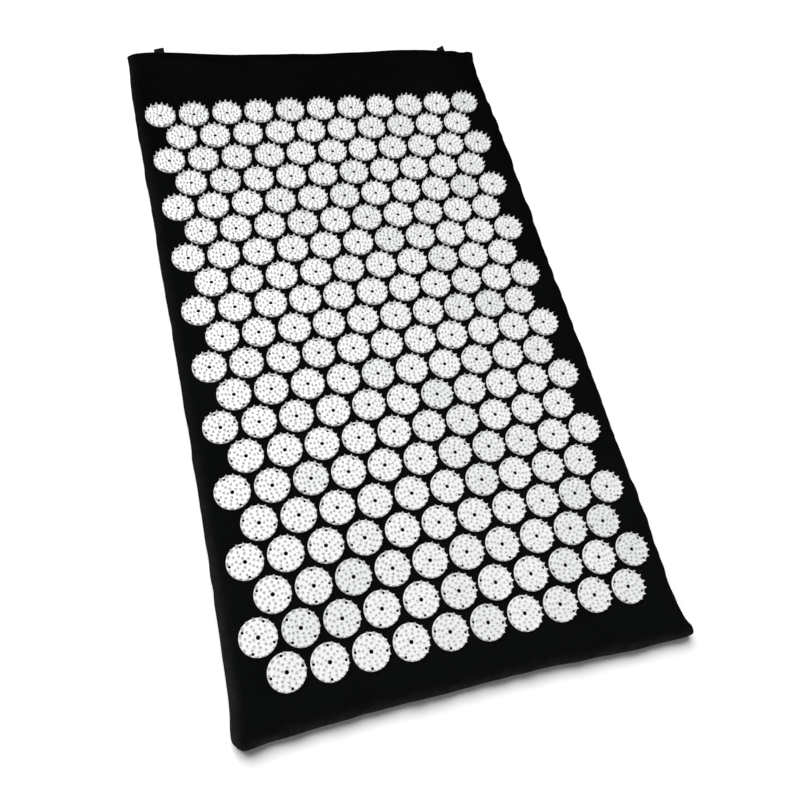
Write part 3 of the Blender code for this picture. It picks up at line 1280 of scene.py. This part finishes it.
def addDiscs():
    chance = random.Random(disc["seed"])
    master = discMesh()
    print("one disc:", len(master.polygons), "faces")
    for node, centres in rowsOfDiscs:
        shape = bmesh.new()
        toneLayer = shape.verts.layers.float.new("tone")
        for centre in centres:
            start = len(shape.verts)
            shape.from_mesh(master)
            shape.verts.ensure_lookup_table()
            fresh = shape.verts[start:]
            turn = Matrix.Rotation(chance.uniform(0, 2 * math.pi), 4, "Z")
            lean = Matrix.Rotation(math.radians(chance.uniform(0, disc["tilt"])), 4, "X")
            swing = Matrix.Rotation(chance.uniform(0, 2 * math.pi), 4, "Z")
            drift = Vector((chance.uniform(-1, 1), chance.uniform(-1, 1), 0)) * disc["drift"]
            place = centre + drift + Vector((0, 0, disc["thickness"]))
            bmesh.ops.transform(shape, matrix=Matrix.Translation(place) @ swing @ lean @ turn, verts=fresh)
            # Mostly bright, with a few discs painted greyer as painted shade of discs tilted out of the light,
            # besides the plastic's own random tone
            tone = 1 - chance.random() ** 3
            for vertex in fresh:
                vertex[toneLayer] = tone
        piece = addPiece("discRow" + node[-2:], shape, plastic, "mat")
        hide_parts(node)


# Studio

studio = {
    "floorSize": 12.0,
    "floorDrop": 0.0002,
    "floorColour": (0.97, 0.97, 0.97, 1.0),
    "whiteFrom": 1.1,            # how far from the mat's middle the floor starts to run out into white
    "whiteOver": 1.5,
    "skyLevel": 0.1,
    "lamps": {                   # place, size, power; the fill lights what the key leaves dull
        "keyLamp": ((-1.35, 2.92, 5.40), 4.05, 518.0),
        "fillLamp": ((-1.6, -5.0, 1.9), 3.0, 58.0),
    },
}


def addLamp(name, place, size, power):
    data = bpy.data.lights.new(name, "AREA")
    data.shape = "SQUARE"
    data.size = size
    data.energy = power
    lamp = linked(name, data)
    lamp.location = place
    lamp.rotation_euler = (-Vector(place)).to_track_quat("-Z", "Y").to_euler()


def seenStraight(tree):
    # 1 for rays that come from the camera or off gloss and glass, else 0
    path = tree.nodes.new("ShaderNodeLightPath")
    seen = path.outputs["Is Camera Ray"]
    for kind in ("Is Glossy Ray", "Is Transmission Ray"):
        larger = tree.nodes.new("ShaderNodeMath")
        larger.operation = "MAXIMUM"
        tree.links.new(seen, larger.inputs[0])
        tree.links.new(path.outputs[kind], larger.inputs[1])
        seen = larger.outputs[0]
    return seen


def addStudio():
    # A white floor that runs out into white light far from the mat, a dim sky and two lamps
    shape = bmesh.new()
    bmesh.ops.create_grid(shape, x_segments=1, y_segments=1, size=studio["floorSize"] / 2)
    mesh = meshOf("studioFloor", shape)
    floor = linked("studioFloor", mesh)
    floor.location.z = -studio["floorDrop"]
    finish = Finish("paleFloor", 1.0, 0.0, Base_Color=studio["floorColour"], Emission_Strength=1.0)
    x, y, _ = finish.split(finish.point())
    far = (((x * x + y * y) ** 0.5 - studio["whiteFrom"]) / studio["whiteOver"]).kept()
    straight = Wire(finish, None, seenStraight(finish.tree))
    finish.drive("Emission Color", finish.mix(straight * far, grey(0.0), grey(1.0)))
    mesh.materials.append(finish.material)

    world = bpy.data.worlds.new("studioWorld")
    scene.world = world
    world.use_nodes = True
    tree = world.node_tree
    sky = tree.nodes["Background"]
    sky.inputs["Color"].default_value = grey(1.0)
    straight = seenStraight(tree)
    scaled = tree.nodes.new("ShaderNodeMath")
    scaled.operation = "MULTIPLY_ADD"
    tree.links.new(straight, scaled.inputs[0])
    scaled.inputs[1].default_value = 1.0 - studio["skyLevel"]
    scaled.inputs[2].default_value = studio["skyLevel"]
    tree.links.new(scaled.outputs[0], sky.inputs["Strength"])
    for name, (place, size, power) in studio["lamps"].items():
        addLamp(name, place, size, power)


addStudio()
print("studio ready")
topCloth = addTopCloth()
addBaseCloth()
print("cover made")
addPad()
addTapes()
addStitching(topCloth)
addTab("left")
addTab("right")
print("pad, tapes, stitching and tabs made")
addDiscs()
print("discs made")
